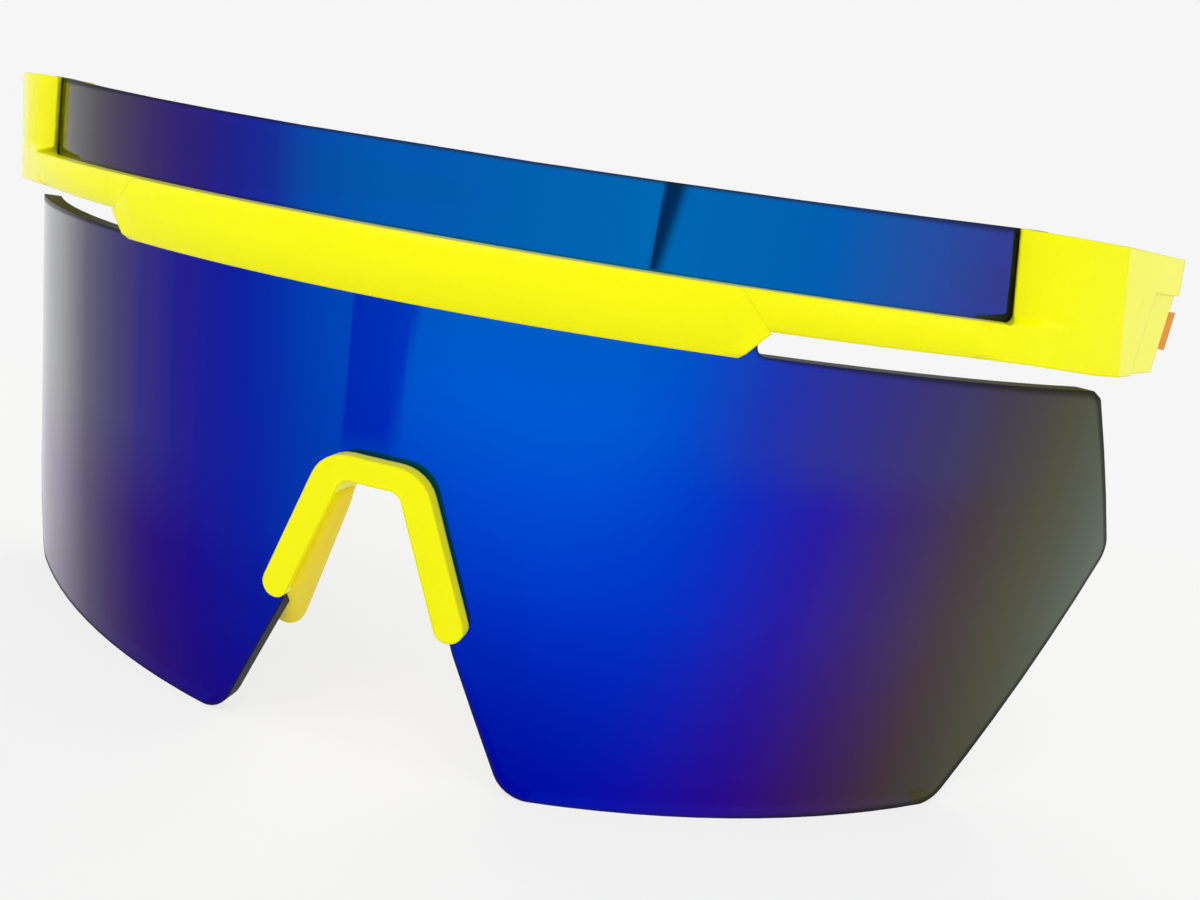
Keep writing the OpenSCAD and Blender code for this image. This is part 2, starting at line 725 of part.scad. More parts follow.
module temple() {
  color(neon_yellow) at_pin() difference() {
    union() {
      intersection() {
        temple_slab(0);
        temple_outline(front_y, temple_len - tip_len, 0, 0);
      }
      intersection() {
        temple_slab(tip_wall + tongue_play);
        temple_outline(temple_len - tip_len - over, temple_len - 3 * temple_round,
          tip_wall + tongue_play, tip_wall);
      }
    }
    // Seat of the hinge leaf
    translate([face_x - over, neck_len - seat_gap, -leaf_h / 2 - seat_gap])
      cube([over + leaf_sink + seat_gap, leaf_len - neck_len + 2 * seat_gap,
        leaf_h + 2 * seat_gap]);
    translate([face_x - over, front_y - over, -knuckle_h / 2 - seat_gap])
      cube([over + leaf_sink + seat_gap, neck_len + over, knuckle_h + 2 * seat_gap]);
    temple_leaf_holes();
    // Seat of the orange strip
    accent_solid(seat_gap);
  }
}
module temple_left() temple();
module temple_right() mirror([1, 0, 0]) temple();

module temple_tip() {
  color(pad_amber) at_pin() difference() {
    intersection() {
      temple_slab(0);
      temple_outline(temple_len - tip_len + seat_gap, temple_len, 0, temple_round);
    }
    intersection() {
      temple_slab(tip_wall);
      temple_outline(temple_len - tip_len - over, temple_len - 3 * temple_round + tongue_play,
        tip_wall, tip_wall);
    }
  }
}
module temple_tip_left() temple_tip();
module temple_tip_right() mirror([1, 0, 0]) temple_tip();

// Orange strip, let into the outer face of the temple
accent_sink = 0.5;
accent_rise = 2.4;
accent_z = temple_bot_z + accent_h / 2 + accent_rise;
module accent_solid(e) {
  far_h = accent_h * 0.6;
  intersection() {
    difference() {
      translate([face_x + temple_t + accent_d - temple_bow_r, 0, -accent_h])
        cylinder(h = 4 * accent_h, r = temple_bow_r, $fn = 720);
      translate([face_x + temple_t - accent_sink - e - temple_bow_r, 0, -2 * accent_h])
        cylinder(h = 6 * accent_h, r = temple_bow_r, $fn = 720);
    }
    translate([face_x, 0, 0]) rotate([90, 0, 90]) linear_extrude(2 * temple_t)
      polygon([[2 * front_y - e, accent_z - accent_h / 2 - e],
               [2 * front_y + accent_len + e, accent_z - far_h / 2 - e],
               [2 * front_y + accent_len + e, accent_z + far_h / 2 + e],
               [2 * front_y - e, accent_z + accent_h / 2 + e]]);
  }
}
module accent() {
  color(accent_orange) at_pin() accent_solid(0);
}
module accent_left() accent();
module accent_right() mirror([1, 0, 0]) accent();

module temple_hinge() {
  color(steel_grey) at_pin() difference() {
    union() {
      translate([face_x + leaf_sink - leaf_t, neck_len, -leaf_h / 2])
        cube([leaf_t, leaf_len - neck_len, leaf_h]);
      translate([face_x + leaf_sink - leaf_t, 0, -knuckle_h / 2 + seat_gap])
        cube([leaf_t, neck_len + over, knuckle_h - 2 * seat_gap]);
      translate([0, 0, -knuckle_h / 2]) cylinder(h = knuckle_h, r = knuckle_r);
    }
    translate([0, 0, -knuckle_h]) cylinder(h = 2 * knuckle_h, r = pin_r + pin_gap);
    for (share = leaf_screw_share) translate([0, leaf_len * share, 0]) rotate([0, 90, 0])
      cylinder(h = 2 * face_x, r = leaf_screw_r + seat_gap);
  }
}
module temple_hinge_left() temple_hinge();
module temple_hinge_right() mirror([1, 0, 0]) temple_hinge();

module temple_leaf_screws() {
  color(steel_grey) at_pin() for (share = leaf_screw_share)
    translate([face_x + leaf_sink - leaf_t - leaf_head_h, leaf_len * share, 0])
      rotate([0, 90, 0]) small_screw(leaf_screw_len, leaf_screw_r, leaf_head_r, leaf_head_h);
}
module temple_leaf_screws_left() temple_leaf_screws();
module temple_leaf_screws_right() mirror([1, 0, 0]) temple_leaf_screws();

lens();
front_frame();
inner_rail();
rail_screws();
nose_bridge();
nose_pad_left();
nose_pad_right();
front_hinge_left();
front_hinge_right();
front_leaf_screws();
hinge_screw_left();
hinge_screw_right();
temple_left();
temple_right();
temple_hinge_left();
temple_hinge_right();
temple_leaf_screws_left();
temple_leaf_screws_right();
temple_tip_left();
temple_tip_right();
accent_left();
accent_right();
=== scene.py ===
import json
import math

import bmesh
import bpy
from mathutils import Matrix, Vector


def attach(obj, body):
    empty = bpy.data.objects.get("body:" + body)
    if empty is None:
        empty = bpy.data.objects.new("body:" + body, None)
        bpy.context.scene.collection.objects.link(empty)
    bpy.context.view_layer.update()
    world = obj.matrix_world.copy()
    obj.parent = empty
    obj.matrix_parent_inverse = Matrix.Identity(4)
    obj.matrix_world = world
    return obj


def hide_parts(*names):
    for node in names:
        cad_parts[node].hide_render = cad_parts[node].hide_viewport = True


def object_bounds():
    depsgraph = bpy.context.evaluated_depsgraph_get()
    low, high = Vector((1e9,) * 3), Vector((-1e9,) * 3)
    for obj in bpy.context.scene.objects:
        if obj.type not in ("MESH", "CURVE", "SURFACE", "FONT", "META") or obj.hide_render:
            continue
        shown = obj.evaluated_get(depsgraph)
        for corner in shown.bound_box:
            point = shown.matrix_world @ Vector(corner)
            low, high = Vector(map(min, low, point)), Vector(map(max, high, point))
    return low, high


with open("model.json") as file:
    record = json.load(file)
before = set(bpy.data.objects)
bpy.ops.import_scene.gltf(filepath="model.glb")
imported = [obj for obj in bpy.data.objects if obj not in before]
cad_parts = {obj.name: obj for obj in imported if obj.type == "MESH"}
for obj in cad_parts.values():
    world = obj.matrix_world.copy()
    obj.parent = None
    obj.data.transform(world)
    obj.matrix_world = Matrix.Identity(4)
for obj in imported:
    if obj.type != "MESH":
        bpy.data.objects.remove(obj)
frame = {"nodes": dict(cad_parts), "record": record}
cad_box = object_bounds()
nodes = frame["nodes"]
scene = bpy.context.scene

MM = 0.001
HALF_W = 0.075  # half width of the lens on its chord (m)
# Heights (m) between which the lens's look turns into that of its upper band
BAND_FOOT, BAND_FULL = 0.0200, 0.0235

# ---------------------------------------------------------------- small tools


def lin(r, g, b):
    """Colour given in 8-bit display values, as the linear values that Blender works in."""
    def one(v):
        v = v / 255
        return v / 12.92 if v <= 0.04045 else ((v + 0.055) / 1.055) ** 2.4
    return (one(r), one(g), one(b), 1.0)


PALE = lin(246, 246, 246)
WHITE = (1.0, 1.0, 1.0, 1.0)


class Tree:
    """A new material and short names for adding nodes to it."""

    def __init__(self, name):
        self.mat = bpy.data.materials.new(name)
        self.mat.use_nodes = True
        self.nt = self.mat.node_tree
        self.nt.nodes.clear()
        self.out = self.nt.nodes.new("ShaderNodeOutputMaterial")
        self.coord = self.nt.nodes.new("ShaderNodeTexCoord")

    def new(self, kind, **props):
        n = self.nt.nodes.new("ShaderNode" + kind)
        for k, v in props.items():
            setattr(n, k, v)
        return n

    def put(self, value, socket):
        if isinstance(value, bpy.types.NodeSocket):
            self.nt.links.new(value, socket)
        elif value is not None:
            socket.default_value = value

    def math(self, op, a, b=None):
        n = self.new("Math", operation=op)
        self.put(a, n.inputs[0])
        self.put(b, n.inputs[1])
        return n.outputs[0]

    def mix(self, fac, a, b, blend="MIX"):
        n = self.new("Mix", data_type="RGBA", blend_type=blend)
        self.put(fac, n.inputs[0])
        self.put(a, n.inputs[6])
        self.put(b, n.inputs[7])
        return n.outputs[2]

    def noise(self, scale, detail, rough, stretch=(1, 1, 1)):
        """Noise in the object's own coordinates."""
        m = self.new("Mapping")
        m.inputs["Scale"].default_value = stretch
        self.put(self.coord.outputs["Object"], m.inputs["Vector"])
        n = self.new("TexNoise")
        n.inputs["Scale"].default_value = scale
        n.inputs["Detail"].default_value = detail
        n.inputs["Roughness"].default_value = rough
        self.put(m.outputs[0], n.inputs["Vector"])
        return n.outputs["Fac"]

    def remap(self, v, a, b, c, d, smooth=False):
        """The range a..b of v as the range c..d, held at both ends."""
        n = self.new("MapRange")
        n.interpolation_type = "SMOOTHSTEP" if smooth else "LINEAR"
        for i, x in enumerate((v, a, b, c, d)):
            self.put(x, n.inputs[i])
        return n.outputs[0]

    def ramp(self, fac, stops):
        n = self.new("ValToRGB")
        e = n.color_ramp.elements
        while len(e) > 1:
            e.remove(e[-1])
        e[0].position, e[0].color = stops[0]
        for p, c in stops[1:]:
            e.new(p).color = c
        self.put(fac, n.inputs[0])
        return n.outputs[0]

    def bump(self, height, strength, distance, normal):
        n = self.new("Bump")
        n.inputs["Strength"].default_value = strength
        n.inputs["Distance"].default_value = distance
        self.put(height, n.inputs["Height"])
        self.put(normal, n.inputs["Normal"])
        return n.outputs[0]

    def rounded(self, radius):
        """Normal that turns softly round edges."""
        n = self.new("Bevel", samples=6)
        self.put(radius, n.inputs["Radius"])
        return n.outputs[0]

    def principled(self, **values):
        n = self.new("BsdfPrincipled")
        for k, v in values.items():
            self.put(v, n.inputs[k.replace("_", " ")])
        return n.outputs[0]

    def simple(self, kind, colour):
        """A one-colour shader: diffuse, transparent or emission."""
        n = self.new(kind)
        self.put(colour, n.inputs[0])
        return n.outputs[0]

    def blend(self, share, first, second):
        """Two shaders mixed: share 0 is the first, 1 the second."""
        n = self.new("MixShader")
        for i, v in enumerate((share, first, second)):
            self.put(v, n.inputs[i])
        return n.outputs[0]

    def finish(self, shader):
        self.nt.links.new(shader, self.out.inputs["Surface"])
        return self.mat


# ------------------------------------------------------------------ materials


def neon_plastic():
    """Glossy moulded neon yellow: a soft flow variation, a faint orange peel and rounded edges."""
    t = Tree("neon_yellow_plastic")
    flow = t.noise(60.0, 2.0, 0.5, (1, 1, 2.5))
    fine = t.noise(900.0, 3.0, 0.6)
    colour = t.mix(t.remap(flow, 0.3, 0.7, 0.0, 1.0), lin(252, 250, 0), lin(255, 253, 3))
    rough = t.remap(t.noise(350.0, 4.0, 0.6), 0.3, 0.7, 0.17, 0.25)
    p = t.principled(Base_Color=colour, Roughness=rough, IOR=1.22, Subsurface_Weight=0.12,
                     Subsurface_Radius=(0.9, 0.9, 0.15), Subsurface_Scale=0.003,
                     Normal=t.bump(fine, 0.035, 0.0004, t.rounded(0.00035)))
    return t.finish(p)


def amber_rubber():
    """Soft amber silicone: light soaks in, a satin skin with a fine matt grain."""
    t = Tree("amber_silicone")
    cloud = t.noise(140.0, 2.0, 0.5)
    colour = t.mix(t.remap(cloud, 0.3, 0.7, 0.0, 1.0), lin(255, 224, 0), lin(255, 230, 4))
    rough = t.remap(t.noise(1200.0, 2.0, 0.5), 0.3, 0.7, 0.42, 0.54)
    p = t.principled(Base_Color=colour, Roughness=rough, IOR=1.2, Subsurface_Weight=0.25,
                     Subsurface_Radius=(1.0, 0.7, 0.12), Subsurface_Scale=0.004,
                     Normal=t.bump(t.noise(2200.0, 2.0, 0.5), 0.05, 0.0002, t.rounded(0.0005)))
    return t.finish(p)


def orange_plastic():
    """Satin orange strip with a fine lengthwise draw."""
    t = Tree("orange_strip")
    grain = t.noise(260.0, 3.0, 0.5, (4, 0.25, 4))
    colour = t.mix(t.remap(grain, 0.3, 0.7, 0.0, 1.0), lin(240, 152, 56), lin(246, 166, 76))
    p = t.principled(Base_Color=colour, Roughness=t.remap(grain, 0.3, 0.7, 0.3, 0.4), IOR=1.45,
                     Normal=t.bump(grain, 0.04, 0.0002, t.rounded(0.0002)))
    return t.finish(p)


def hinge_steel():
    """Brushed steel: fine lines up and down, brighter worn edges."""
    t = Tree("brushed_steel")
    lines = t.noise(700.0, 4.0, 0.65, (5, 5, 0.3))
    wear = t.new("NewGeometry").outputs["Pointiness"]
    base = t.mix(t.remap(lines, 0.3, 0.7, 0.0, 1.0), lin(168, 169, 173), lin(198, 199, 203))
    colour = t.mix(t.remap(wear, 0.5, 0.56, 0.0, 0.6), base, lin(222, 223, 226))
    rough = t.remap(lines, 0.3, 0.7, 0.24, 0.38)
    p = t.principled(Base_Color=colour, Metallic=1.0, Roughness=rough,
                     Normal=t.bump(lines, 0.05, 0.0001, t.rounded(0.0001)))
    return t.finish(p)


def mirror_lens():
    """Mirror coating on the front, which turns from blue through violet to bronze towards the
    ends and at a slant, over a smoke lens with dark edges."""
    t = Tree("mirror_coated_smoke_lens")
    place = t.new("SeparateXYZ")
    t.put(t.coord.outputs["Object"], place.inputs[0])
    normal = t.new("SeparateXYZ")
    t.put(t.coord.outputs["Normal"], normal.inputs[0])
    facing = t.new("LayerWeight")
    facing.inputs["Blend"].default_value = 0.5
    # How far the coating's colour has turned: with the place towards both ends, and with the slant
    slant = facing.outputs["Facing"]
    height = place.outputs[2]
    out = t.math("DIVIDE", t.math("ABSOLUTE", place.outputs[0]), HALF_W)
    film = t.math("ADD", out, t.math("MULTIPLY", slant, 0.95))
    mottle = t.math("MULTIPLY", t.math("SUBTRACT", t.noise(28.0, 2.0, 0.5), 0.5), 0.05)
    film = t.math("ADD", film, mottle)
    middle = t.ramp(t.remap(height, -0.030, 0.030, 0.0, 1.0), [
        (0.08, lin(0, 34, 196)), (0.33, lin(0, 58, 218)), (0.5, lin(0, 78, 224)),
        (0.67, lin(0, 96, 224)), (0.82, lin(0, 98, 208))])
    middle = t.mix(t.remap(slant, 0.04, 0.34, 0.0, 0.8), middle, lin(0, 30, 160))
    ends = t.ramp(t.math("DIVIDE", film, 2.0), [
        (0.225, lin(2, 52, 210)), (0.28, lin(20, 42, 200)), (0.35, lin(44, 28, 172)),
        (0.44, lin(65, 41, 120)), (0.54, lin(78, 62, 63)), (0.64, lin(82, 79, 46)),
        (0.75, lin(76, 87, 56))])
    lobes = t.mix(t.remap(film, 0.26, 0.60, 0.0, 1.0, True), middle, ends)
    # Greyer under the bar's arms
    beside = t.math("MULTIPLY", t.remap(out, 0.36, 0.54, 0.0, 1.0),
                    t.remap(out, 0.70, 0.86, 1.0, 0.0))
    under = t.math("MULTIPLY", t.remap(height, 0.003, 0.010, 0.0, 0.36, True), beside)
    lobes = t.mix(under, lobes, lin(66, 78, 112))
    # At a slant the violet holds on, and gloss washes over it
    slope = t.math("SUBTRACT", slant, t.math("MULTIPLY", out, 0.5))
    slope = t.math("SUBTRACT", slope, t.remap(out, 0.75, 1.0, 0.0, 0.12))
    deep = t.ramp(slant, [
        (0.19, lin(0, 64, 188)), (0.31, lin(8, 30, 168)), (0.43, lin(20, 2, 148)),
        (0.57, lin(28, 0, 106)), (0.68, lin(40, 22, 70)), (0.80, lin(120, 120, 118))])
    lobes = t.mix(t.remap(slope, 0.09, 0.17, 0.0, 1.0), lobes, deep)
    # Deeper towards the foot
    foot = t.remap(height, -0.028, -0.008, 0.9, 0.0)
    shade = t.mix(t.remap(film, 0.75, 1.15, 0.0, 1.0),
                  (0.9, 0.06, 0.76, 1.0), (0.76, 0.74, 0.55, 1.0))
    lobes = t.mix(foot, lobes, shade, "MULTIPLY")
    # The band above the bar is cyan where it is seen straight on and violet at a slant. Where it is
    # seen most aslant, towards the end blocks, it goes near black: a painted reflection of the
    # blocks' inner walls.
    straight = t.ramp(out, [
        (0.0, lin(4, 94, 186)), (0.30, lin(0, 112, 190)), (0.50, lin(4, 100, 188)),
        (0.70, lin(56, 66, 156))])
    # Painted reflection: the last, near-black stops stand in for the end blocks' inner walls
    # mirrored in the band
    slanted_with_wall_reflection = t.ramp(slant, [
        (0.20, lin(10, 60, 172)), (0.32, lin(30, 34, 152)), (0.42, lin(40, 14, 128)),
        (0.54, lin(42, 0, 92)), (0.66, lin(20, 0, 30)), (0.80, lin(4, 2, 0))])
    band = t.mix(t.remap(slope, 0.10, 0.17, 0.0, 1.0), straight, slanted_with_wall_reflection)
    coat = t.mix(t.remap(height, BAND_FOOT, BAND_FULL, 0.0, 1.0, True), lobes, band)
    # Low down, the slanted look keeps its violet under the gloss
    low = t.math("MULTIPLY", t.remap(height, -0.014, -0.002, 1.0, 0.0),
                 t.remap(slope, 0.10, 0.18, 0.0, 1.0))
    glance = t.mix(low, WHITE, t.ramp(slant, [(0.50, (0.85, 0.62, 1.0, 1.0)),
                                              (0.66, (0.92, 0.86, 1.0, 1.0))]))
    mirror = t.principled(Base_Color=coat, Metallic=1.0, Roughness=0.045, Specular_Tint=glance)
    front = t.blend(0.09, mirror, t.simple("BsdfTransparent", (0.0, 0.07, 0.6, 1.0)))
    # The coating stops short of the outline, where the edge is ground dark
    soft_edge = t.new("VectorMath", operation="DOT_PRODUCT")
    t.put(t.rounded(t.remap(out, 0.45, 0.85, 0.0007, 0.0018)), soft_edge.inputs[0])
    t.put(t.new("NewGeometry").outputs["Normal"], soft_edge.inputs[1])
    ground = t.remap(soft_edge.outputs["Value"], 0.93, 0.985, 0.92, 0.0)
    front = t.blend(ground, front, t.simple("BsdfDiffuse", lin(30, 32, 30)))
    # Smoke body, seen at the edges and from behind
    tone = t.mix(t.remap(t.noise(45.0, 2.0, 0.5), 0.3, 0.7, 0.0, 1.0),
                 lin(38, 42, 40), lin(46, 50, 50))
    smoke = t.principled(Base_Color=tone, Roughness=0.08, IOR=1.58)
    body = t.blend(0.38, smoke, t.simple("BsdfTransparent", (0.80, 0.84, 0.86, 1.0)))
    rim = t.principled(Base_Color=lin(30, 32, 26), Roughness=0.5, IOR=1.15)
    # Which way the face really looks, also where it is seen from inside the lens
    within = t.remap(t.new("NewGeometry").outputs["Backfacing"], 0.0, 1.0, 1.0, -1.0)
    faces_y = t.math("MULTIPLY", normal.outputs[1], within)
    behind = t.blend(t.math("GREATER_THAN", faces_y, 0.5), rim, body)
    return t.finish(t.blend(t.math("LESS_THAN", faces_y, -0.5), behind, front))


looks = {
    "yellow_plastic": neon_plastic(),
    "amber_rubber": amber_rubber(),
    "orange_plastic": orange_plastic(),
    "hinge_steel": hinge_steel(),
    "mirror_lens": mirror_lens(),
}
slot_of = {s["node"]: s["material_slot"] for s in frame["record"]["subparts"]}
for name, obj in nodes.items():
    obj.data.materials.clear()
    obj.data.materials.append(looks[slot_of[name]])

# ---------------------------------------------------------------- front frame

# Sizes in mm, as in the CAD source
MID_R, SIDE_R, MID_SHARE, MID_COS = 81.2, 99.5, 0.28, 0.96
SIDE_CX = (MID_R - SIDE_R) * MID_SHARE
SIDE_CY = MID_R * (1 - MID_COS) + SIDE_R * MID_COS
BAR_D, SKIN, BEVEL = 2.6, 0.06, 0.5
BROW_Z, ARM_Z, BLOCK_TOP_Z, LEAN = 24.1, 20.6, 32.98, 1.8
WALL_X = 53.6 + BAR_D * math.sin(math.asin((53.6 - SIDE_CX) / SIDE_R))
START_FROM, START_TO = 51.9, 52.5   # where each block grows out of its arm
END_FROM, WINDOW_FROM = 51.5, 50.0  # faces further out belong to a block, and to its window's end
# What is left of the bar's depth at the window's end, the shift outwards, the length of the slope
LIP, LIP_SHIFT, FADE = 0.45, 1.56, 9.0
STEP = 0.1  # the CAD's small steps where each block meets the bar's height
NEAR, CLOSE = 0.02, 0.05  # how near a vertex lies to count as on a face
CUT_HEIGHTS = (24.12, 24.25, 24.4, 24.55, 24.7, 24.85, 25.0, 26.4, 27.5, 29.0, 31.0)
CUT_STEPS = (0.4, 0.8, 1.2, 1.6, 2.1, 2.7, 3.4, 4.2, 5.1, 6.1, 7.2, 8.4, 9.2)


def wall_heading(z):
    """Heading, round the side arc's centre, of the window wall's front edge at height z (mm)."""
    x = WALL_X - LEAN * max(z - BROW_Z, 0) / (BLOCK_TOP_Z + 1 - BROW_Z)
    return math.asin((x - SIDE_CX) / (SIDE_R + BAR_D))


def ease(v):
    """Soft step from 0 to 1."""
    v = min(max(v, 0.0), 1.0)
    return v * v * (3 - 2 * v)


def radius(x, y):
    """Distance from the side arc's centre."""
    return math.hypot(abs(x) - SIDE_CX, y - SIDE_CY)


def at_radius(x, y, r):
    """The point x, y, moved along its radius to the distance r."""
    k = r / radius(x, y)
    return math.copysign(SIDE_CX + (abs(x) - SIDE_CX) * k, x), SIDE_CY + (y - SIDE_CY) * k


def on_arc(side, r, heading, z):
    """Point (in metres) at a distance and a heading from one side arc's centre."""
    x = SIDE_CX + r * math.sin(heading)
    return Vector((side * x, SIDE_CY - r * math.cos(heading), z)) * MM


def front_piece():
    """The bar with its end blocks. Each block's front sinks softly to the lens at the window."""
    obj = bpy.data.objects.new("front_frame_dressed", bpy.data.meshes.new("front_frame_dressed"))
    scene.collection.objects.link(obj)
    bm = bmesh.new()
    bm.from_mesh(nodes["front_frame"].data)
    bmesh.ops.remove_doubles(bm, verts=bm.verts, dist=2e-6)
    for v in bm.verts:
        x, y, z = v.co / MM
        r = radius(x, y)
        if abs(x) > END_FROM and abs(r - (SIDE_R + BAR_D - SKIN)) < NEAR:
            x, y = at_radius(x, y, SIDE_R + BAR_D)
        # Where the block grows out of the arm it starts flush with the arm's bevelled edges
        flush = BAR_D - BEVEL + min(z - ARM_Z, BROW_Z - z)
        if START_FROM < abs(x) < START_TO and 0 < flush < r - SIDE_R:
            x, y = at_radius(x, y, SIDE_R + flush)
        elif abs(x) > START_TO and abs(z - (BROW_Z - STEP)) < NEAR:
            z = BROW_Z
        elif abs(x) > START_TO and abs(z - (ARM_Z + STEP)) < NEAR:
            z = ARM_Z
        v.co = Vector((x, y, z)) * MM

    def slice_at(side, depth, low, point, normal):
        """Cut one end block's faces with a plane, those in front of depth that reach above low."""
        parts = set()
        for f in bm.faces:
            if (max(side * v.co.x for v in f.verts) > (WINDOW_FROM + 0.5) * MM
                    and max(v.co.z for v in f.verts) > low * MM
                    and all(math.hypot(side * v.co.x / MM - SIDE_CX, v.co.y / MM - SIDE_CY)
                            > SIDE_R + depth for v in f.verts)):
                parts.add(f)
                parts.update(f.edges)
                parts.update(f.verts)
        bmesh.ops.bisect_plane(bm, geom=list(parts), dist=1e-6, plane_co=point, plane_no=normal)

    for side in (1, -1):
        for z in CUT_HEIGHTS:
            slice_at(side, -0.3, BROW_Z + 0.01, Vector((0, 0, z)) * MM, (0, 0, 1))
        low, top = wall_heading(BROW_Z), wall_heading(BLOCK_TOP_Z)
        for along in CUT_STEPS:
            pts = [on_arc(side, SIDE_R + BAR_D, h + along / SIDE_R, z)
                   for h, z in ((low, BROW_Z), (top, BLOCK_TOP_Z))]
            inward = Vector((side * SIDE_CX * MM, SIDE_CY * MM, pts[0].z)) - pts[0]
            slice_at(side, 2.0, BROW_Z + 0.1, pts[0], (pts[1] - pts[0]).cross(inward).normalized())
    for v in bm.verts:
        x, y, z = v.co / MM
        h = math.atan2(abs(x) - SIDE_CX, SIDE_CY - y)
        out = radius(x, y) - SIDE_R
        along = (h - wall_heading(z)) * SIDE_R
        if (abs(x) < WINDOW_FROM or z < BROW_Z or not -CLOSE <= out <= BAR_D + CLOSE
                or not -0.3 < along < FADE):
            continue
        w = (1 - along / FADE) ** 2 if along > 0 else 1.0
        w *= ease((z - BROW_Z) / 0.9)
        r = SIDE_R + out * (1 - w * (1 - LIP / BAR_D))
        h += w * LIP_SHIFT * max(out, 0) / BAR_D / SIDE_R
        v.co = on_arc(math.copysign(1, x), r, h, z)
    bm.to_mesh(obj.data)
    bm.free()
    obj.data.materials.append(looks["yellow_plastic"])
    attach(obj, "front")
    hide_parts("front_frame")


front_piece()

# ------------------------------------------------------------------ nose pads

LENS_T, RIM_BACK, PAD_R, PAD_LEN = 2.0, 1.3, 1.4, 9.0
LEG_ANGLE = math.radians(21)
LEG_LEAN = math.tan(LEG_ANGLE)


def nose_pad(name, side):
    """A soft pad, with a thin skin along the inner wall of its leg of the bridge."""
    def wall_x(z):
        return 3.0 - z * LEG_LEAN

    back = 0.74 + LENS_T + RIM_BACK + PAD_R + 0.1
    middle = 1.5 / math.cos(LEG_ANGLE)
    # Height, distance from the leg's inner wall, depth and radius of each ball in the hull
    balls = [(-1.9, 0.85 - 0.30, -0.42, 0.85), (-12.2, 0.85 - 0.30, -0.15, 0.85),
             (-2.2, 0.9 - 0.25, 2.6, 0.9), (-13.0, 0.9 - 0.25, 3.6, 0.9),
             (-4.6, middle + 0.4, back, PAD_R), (-14.1, middle, back, PAD_R),
             (-20.5, middle + 1.0, back + PAD_LEN * 0.6 - PAD_R, PAD_R * 1.3),
             (-9.8, middle + 2.9, back + PAD_LEN - 2 * PAD_R, PAD_R)]
    bm = bmesh.new()
    for z, away, y, r in balls:
        centre = Vector((side * (wall_x(z) + away), y, z)) * MM
        bmesh.ops.create_uvsphere(bm, u_segments=20, v_segments=12, radius=r * MM,
                                  matrix=Matrix.Translation(centre))
    hull = bmesh.ops.convex_hull(bm, input=bm.verts)
    inner = [g for g in hull["geom_interior"] if isinstance(g, bmesh.types.BMVert)]
    bmesh.ops.delete(bm, geom=inner, context="VERTS")
    mesh = bpy.data.meshes.new(name)
    bm.to_mesh(mesh)
    bm.free()
    obj = bpy.data.objects.new(name, mesh)
    scene.collection.objects.link(obj)
    even = obj.modifiers.new("even", "REMESH")
    even.mode = "VOXEL"
    even.voxel_size = 0.3 * MM
    soft = obj.modifiers.new("soft", "SMOOTH")
    soft.factor = 0.5
    soft.iterations = 6
    bpy.context.view_layer.update()
    graph = bpy.context.evaluated_depsgraph_get()
    obj.data = bpy.data.meshes.new_from_object(obj.evaluated_get(graph))
    obj.modifiers.clear()
    obj.data.polygons.foreach_set("use_smooth", [True] * len(obj.data.polygons))
    obj.data.materials.clear()
    obj.data.materials.append(looks["amber_rubber"])
    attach(obj, "front")
    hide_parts(name.replace("_soft", ""))


nose_pad("nose_pad_left_soft", 1)
nose_pad("nose_pad_right_soft", -1)

# ---------------------------------------------------------------------- stage

floor_z = cad_box[0].z


def card(name, points, mat, **seen):
    """A flat four-cornered piece of the stage; seen says which rays it shows to."""
    mesh = bpy.data.meshes.new(name)
    mesh.from_pydata([Vector(p) for p in points], [], [tuple(range(len(points)))])
    obj = bpy.data.objects.new(name, mesh)
    scene.collection.objects.link(obj)
    mesh.materials.append(mat)
    flat = mesh.uv_layers.new(name="flat")
    for i, uv in enumerate(((0, 0), (1, 0), (1, 1), (0, 1))):
        flat.data[i].uv = uv
    for k, v in seen.items():
        setattr(obj, k, v)


def floor_material():
    """Pale floor: it keeps the object's soft shadow nearby and runs into the pale backdrop."""
    t = Tree("pale_floor")
    place = t.new("VectorMath", operation="LENGTH")
    t.put(t.coord.outputs["Object"], place.inputs[0])
    far = t.remap(place.outputs["Value"], 0.10, 0.42, 0.0, 1.0, True)
    ray = t.new("LightPath")
    mirrored = t.math("MAXIMUM", ray.outputs["Is Glossy Ray"], ray.outputs["Is Transmission Ray"])
    seen = t.math("MAXIMUM", ray.outputs["Is Camera Ray"], mirrored)
    share = t.math("MULTIPLY", seen, t.remap(far, 0.0, 1.0, 0.80, 1.0))
    lit = t.simple("BsdfDiffuse", (0.96, 0.96, 0.96, 1))
    return t.finish(t.blend(share, lit, t.simple("Emission", PALE)))


REACH = 3.0
card("floor", [(x * REACH, y * REACH, floor_z) for x, y in ((-1, -1), (1, -1), (1, 1), (-1, 1))],
     floor_material())


def glow(name, colour, core, base):
    """An even tone on a card, used for painted reflections in the lens. It fades from core to the
    card's sides, and below base.
    """
    t = Tree(name)
    across = t.new("SeparateXYZ")
    t.put(t.new("UVMap").outputs[0], across.inputs[0])
    u = t.math("ABSOLUTE", t.math("SUBTRACT", across.outputs[0], 0.5))
    v = across.outputs[1]
    share = t.math("MULTIPLY", t.remap(u, core, 0.5, 1.0, 0.0, True),
                   t.remap(v, 0.0, base, 0.0, 1.0, True))
    return t.finish(t.blend(share, t.simple("BsdfTransparent", WHITE), t.simple("Emission", colour)))


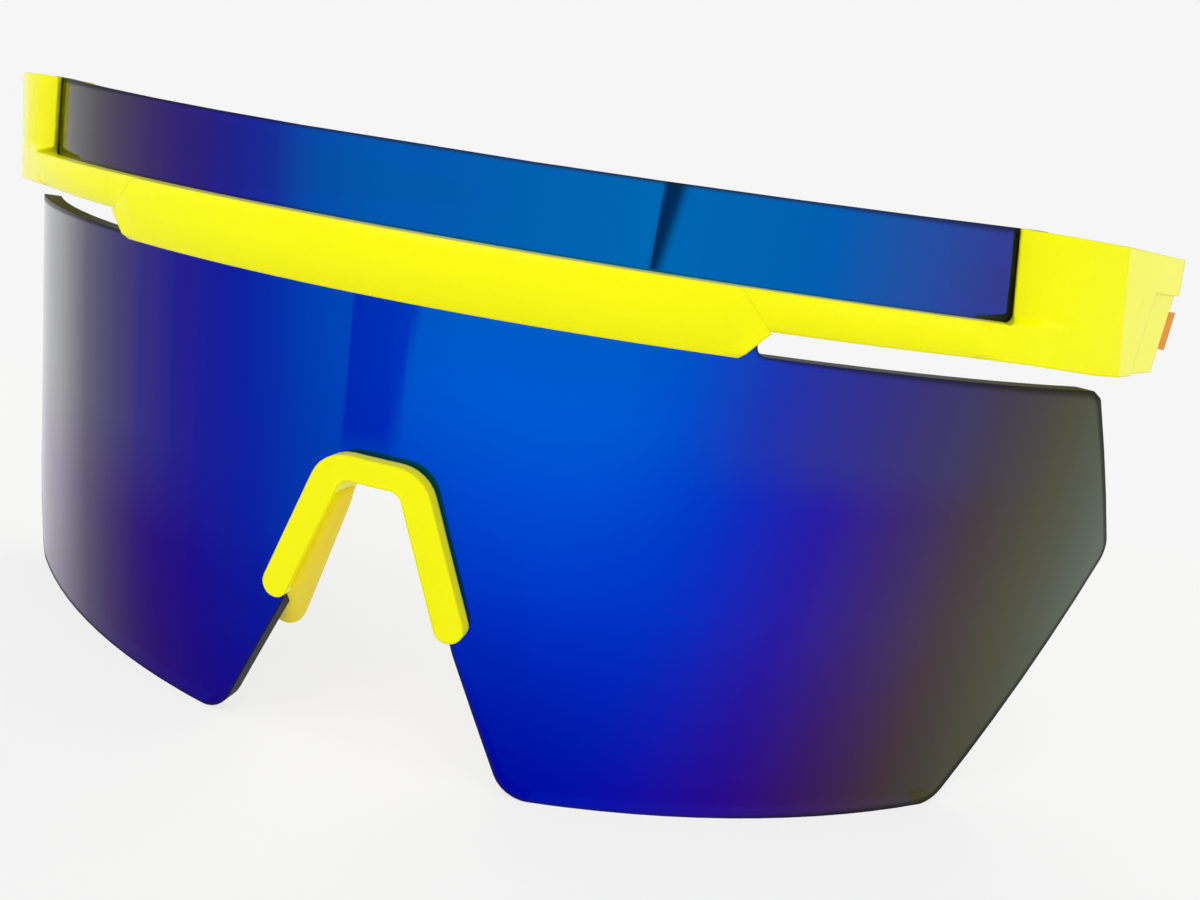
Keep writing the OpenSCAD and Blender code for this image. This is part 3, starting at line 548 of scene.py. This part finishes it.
# Two cards that only show as soft shapes in the mirror coating: painted reflections, darker patches
# standing in for dark things around the set
only_mirrored = dict(visible_camera=False, visible_diffuse=False, visible_shadow=False,
                     visible_transmission=False)
low_z = floor_z + 0.001
card("card_low", [(-0.034, -0.092, low_z), (-0.062, -0.080, low_z),
                  (-0.220, -0.318, low_z), (-0.126, -0.361, low_z)],
     glow("card_low_tone", (0.30, 0.36, 0.84, 1), 0.38, 0.10), **only_mirrored)
card("card_post", [(0.153, -0.400, -0.024), (0.189, -0.384, -0.024), (0.210, -0.376, 0.060),
                   (0.170, -0.394, 0.060)],
     glow("card_post_tone", (0.14, 0.14, 0.16, 1), 0.20, 0.15), **only_mirrored)


def studio():
    """World: soft white light all round, which cameras and mirrors see as the pale backdrop."""
    world = bpy.data.worlds.new("studio")
    scene.world = world
    world.use_nodes = True
    tree = world.node_tree
    tree.nodes.clear()
    ray = tree.nodes.new("ShaderNodeLightPath")
    mix = tree.nodes.new("ShaderNodeMixShader")
    for socket, colour, strength in ((1, WHITE, 0.78), (2, PALE, 1.0)):
        tone = tree.nodes.new("ShaderNodeBackground")
        tone.inputs[0].default_value = colour
        tone.inputs[1].default_value = strength
        tree.links.new(tone.outputs[0], mix.inputs[socket])
    seen = ray.outputs["Is Camera Ray"]
    for kind in ("Is Glossy Ray", "Is Transmission Ray"):
        either = tree.nodes.new("ShaderNodeMath")
        either.operation = "MAXIMUM"
        tree.links.new(seen, either.inputs[0])
        tree.links.new(ray.outputs[kind], either.inputs[1])
        seen = either.outputs[0]
    tree.links.new(seen, mix.inputs[0])
    surface = tree.nodes.new("ShaderNodeOutputWorld").inputs["Surface"]
    tree.links.new(mix.outputs[0], surface)


studio()


def lamp(name, at, target, size, power):
    """A square soft box at a point, which shines on target."""
    data = bpy.data.lights.new(name, "AREA")
    data.shape = "SQUARE"
    data.size = size
    data.energy = power
    obj = bpy.data.objects.new(name, data)
    scene.collection.objects.link(obj)
    aim = (Vector(target) - Vector(at)).to_track_quat("-Z", "Y")
    obj.matrix_world = Matrix.Translation(at) @ aim.to_matrix().to_4x4()


lamp("key", (-0.25, -0.45, 0.85), (0, 0.03, 0), 0.7, 2.2)
lamp("fill", (0.75, -0.35, 0.55), (0, 0.05, 0), 0.6, 0.9)
lamp("back", (0.1, 0.85, 0.75), (0, 0.05, 0), 0.7, 1.2)

# --------------------------------------------------------------------- camera

cam_data = bpy.data.cameras.new("photo_camera")
cam = bpy.data.objects.new("photo_camera", cam_data)
scene.collection.objects.link(cam)
# Axes and place, as fitted to the photo
right = Vector((0.9543128, 0.25504428, 0.15569036))
up = Vector((-0.21210219, 0.21117334, 0.95415852))
back = Vector((0.21047502, -0.94358796, 0.25562087))
at = Vector((0.039704, -0.082961, 0.030477))
cam.matrix_world = Matrix(((right.x, up.x, back.x, at.x), (right.y, up.y, back.y, at.y),
                           (right.z, up.z, back.z, at.z), (0, 0, 0, 1)))
cam_data.sensor_fit = "HORIZONTAL"
cam_data.sensor_width = 36
cam_data.lens = 29.4727
cam_data.clip_start = 0.001
cam_data.clip_end = 20
scene.camera = cam

scene.view_settings.view_transform = "Standard"
